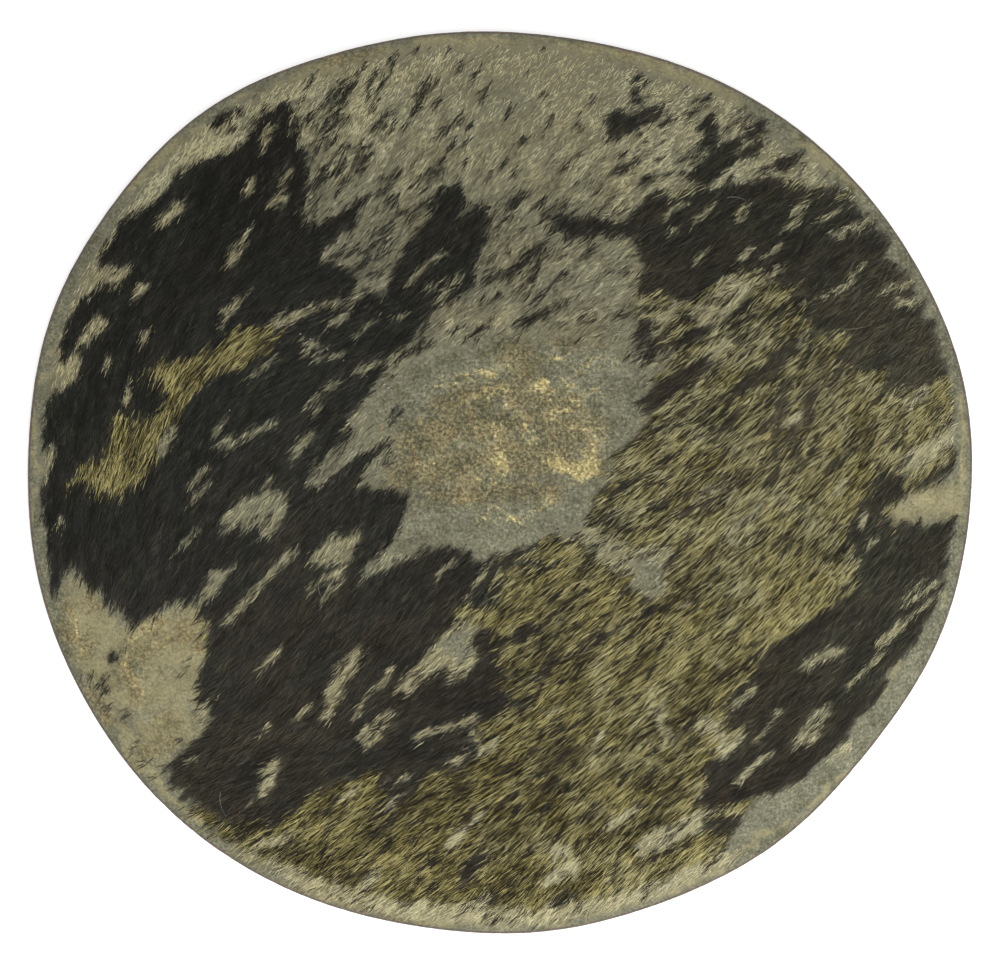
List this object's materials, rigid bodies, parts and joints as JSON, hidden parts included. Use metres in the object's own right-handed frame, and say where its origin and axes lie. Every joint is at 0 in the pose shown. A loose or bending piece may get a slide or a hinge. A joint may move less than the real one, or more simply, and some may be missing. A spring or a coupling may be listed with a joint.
{
  "type": "hide shield",
  "caption": "Round dished shield of one piece of stiff raw hide with its mottled hair left on, worn bald on the crown and round the rim.",
  "frame": {"origin": "on the resting plane of the rim, under the middle of the shield's bounding box", "axes": "+Z out of the hairy face, straight up as the shield lies; +X across its widest part, to the right as the face is seen; +Y towards its top edge"},
  "size_m": [0.5, 0.4778, 0.0574],
  "materials": {
    "hide": "bald raw hide, grey-green, worn tan on the crown and brown at the cut edge",
    "black_hair": "short black hair lying flat",
    "olive_hair": "short olive and brindled hair lying flat",
    "pale_hair": "thin pale hair at the fringes"
  },
  "bodies": {
    "root": {"hide": "hide"}
  },
  "joints": []
}
